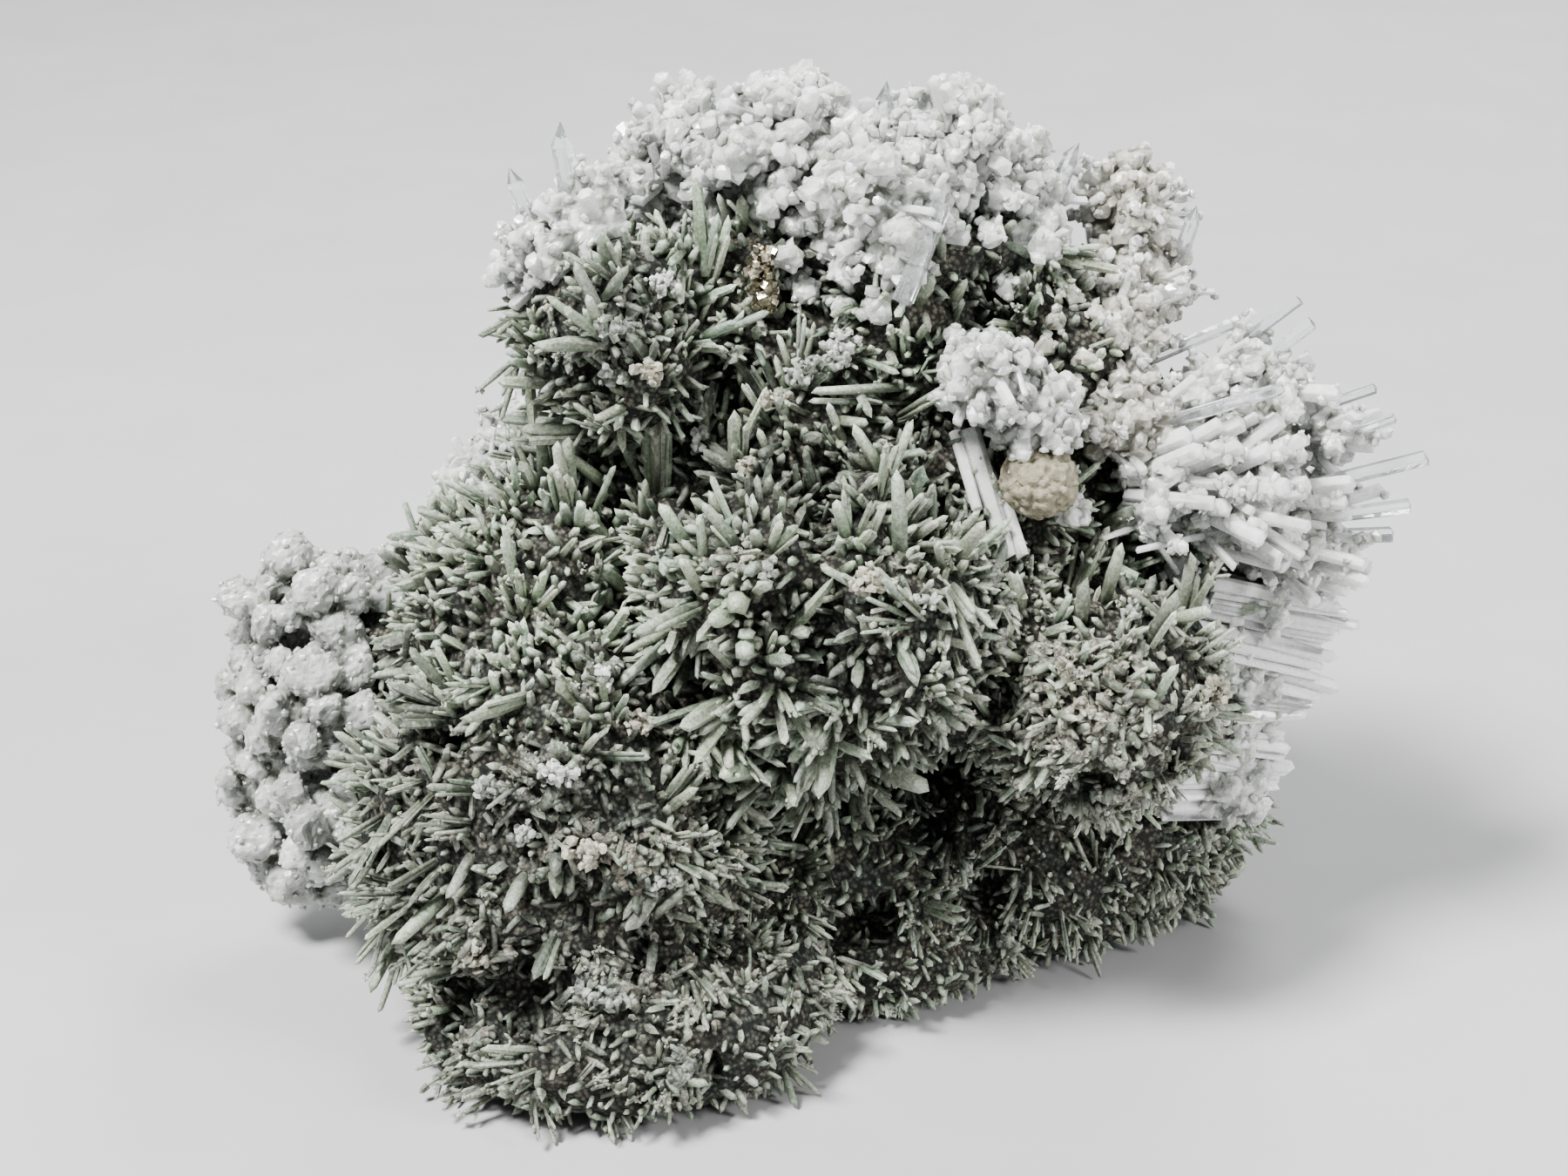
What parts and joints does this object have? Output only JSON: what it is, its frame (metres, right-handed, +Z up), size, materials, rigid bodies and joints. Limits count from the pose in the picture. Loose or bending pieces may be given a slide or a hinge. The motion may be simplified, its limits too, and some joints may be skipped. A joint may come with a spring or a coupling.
{
  "type": "calcite on quartz specimen",
  "caption": "Lobed mineral specimen: host rock covered with green quartz needles and clear prisms, under crusts of white calcite.",
  "frame": {"origin": "on the flat underside, below the middle of the block", "axes": "+X to the viewer's right along the specimen's length, -Y towards the front, +Z up"},
  "size_m": [0.1847, 0.1293, 0.1385],
  "materials": {
    "green_quartz": "sugary needles, satin, pale sage green",
    "clear_quartz": "clear to milky prisms, glossy",
    "calcite": "white, slightly translucent, sparkling",
    "calcite_beige": "grey-beige, granular",
    "dolomite": "tan, matt, granular",
    "pyrite": "bright metallic crystal faces"
  },
  "bodies": {
    "root": {"quartz_matrix": "green_quartz", "calcite_crown": "calcite", "calcite_arm": "calcite_beige", "calcite_fan": "calcite", "calcite_left": "calcite", "calcite_shoulder": "calcite", "calcite_upper_left": "calcite", "calcite_centre": "calcite", "calcite_blades": "calcite", "dolomite_lump": "dolomite", "pyrite_nugget": "pyrite"}
  },
  "joints": []
}
